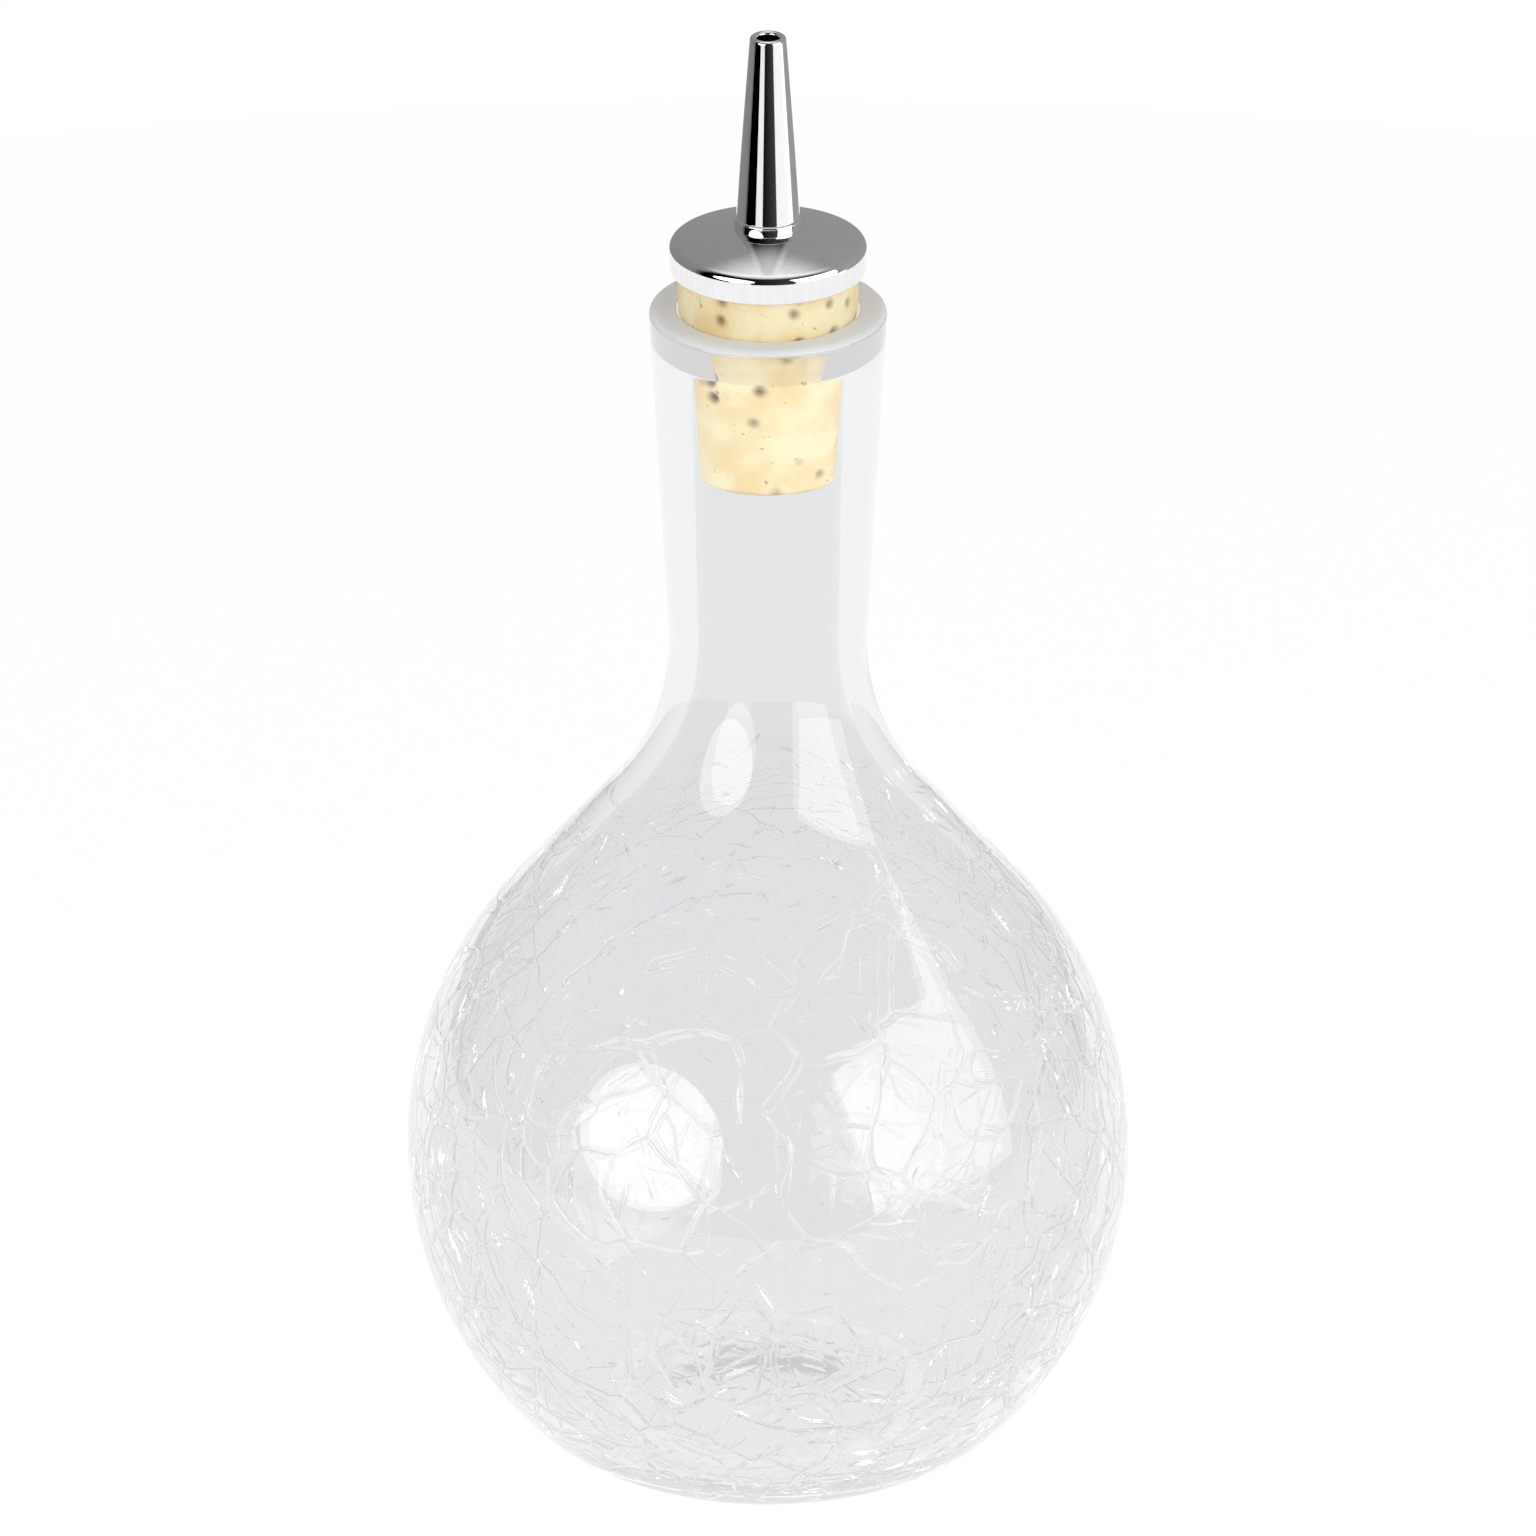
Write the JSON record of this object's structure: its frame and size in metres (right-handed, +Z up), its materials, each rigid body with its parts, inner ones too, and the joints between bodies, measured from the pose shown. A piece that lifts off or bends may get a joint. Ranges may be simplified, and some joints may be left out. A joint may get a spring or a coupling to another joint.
{
  "type": "bitters bottle",
  "caption": "Crackle glass bottle with a round body, a straight neck and a ground rim, closed by a cork stopper with a domed metal cap and a tapered dashing spout.",
  "frame": {"origin": "centre of the ring that the glass stands on, at table level", "axes": "+Z up along the bottle's axis of revolution, from the base to the tip of the spout"},
  "size_m": [0.0904, 0.0904, 0.1872],
  "materials": {
    "clear_glass": "clear blown glass, crackled round body, ground matt rim",
    "natural_cork": "natural cork, lightly pitted",
    "polished_chrome": "polished",
    "tube_steel": "drawn stainless tube"
  },
  "bodies": {
    "glass_body": {"bottle": "clear_glass"},
    "stopper": {"cork": "natural_cork", "cap_disc": "polished_chrome", "spout": "polished_chrome", "pour_tube": "tube_steel"}
  },
  "joints": [
    {"name": "stopper_lift", "type": "slide", "parent": "glass_body", "child": "stopper", "axis": [0, 0, 1], "range_m": [0, 0.06]}
  ]
}
